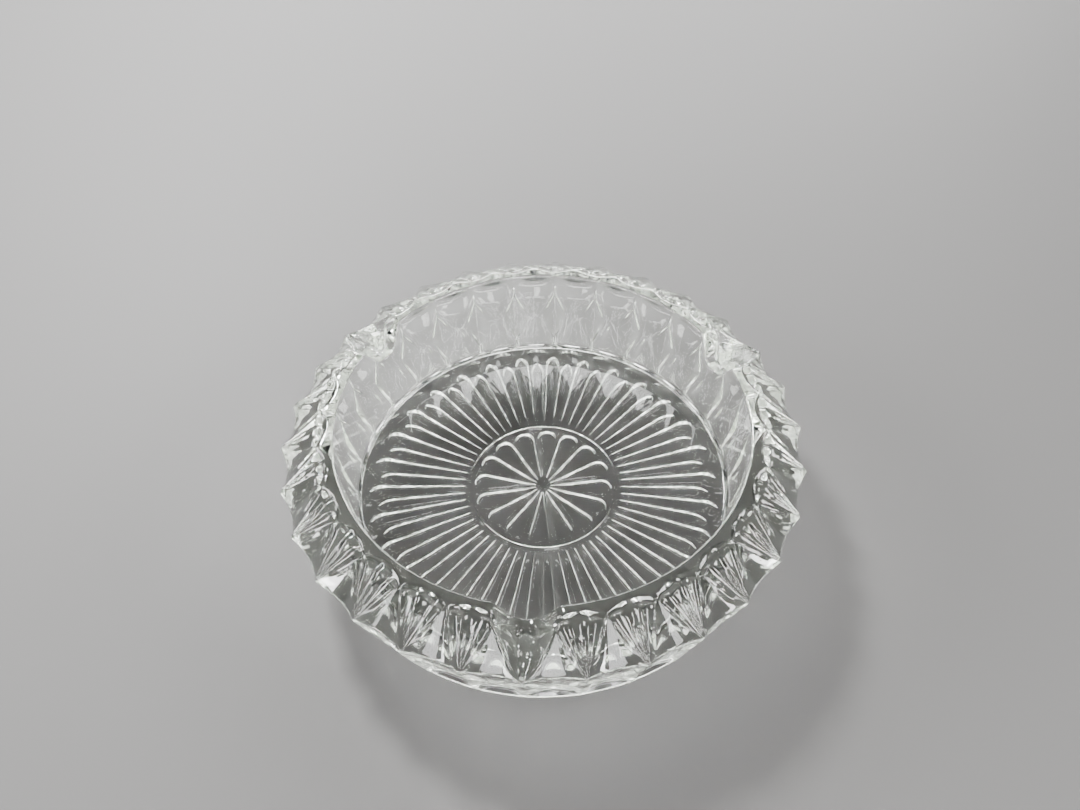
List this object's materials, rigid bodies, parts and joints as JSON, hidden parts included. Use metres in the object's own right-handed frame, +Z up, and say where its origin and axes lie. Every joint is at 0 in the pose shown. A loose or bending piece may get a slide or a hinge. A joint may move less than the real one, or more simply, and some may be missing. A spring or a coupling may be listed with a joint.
{
  "type": "glass ashtray",
  "caption": "Round clear pressed-glass ashtray: a thick-walled flat-floored bowl with a rim of points, rest notches across the rim, faceted sides and a sunburst cut into the underside.",
  "frame": {"origin": "centre of the underside, on the plane of the foot ring", "axes": "+Z up along the axis of the bowl; -Y through the middle of one rest"},
  "size_m": [0.1532, 0.154, 0.037],
  "materials": {
    "glass": "clear pressed soda-lime glass, fire-polished"
  },
  "bodies": {
    "root": {"glass_dish": "glass"}
  },
  "joints": []
}
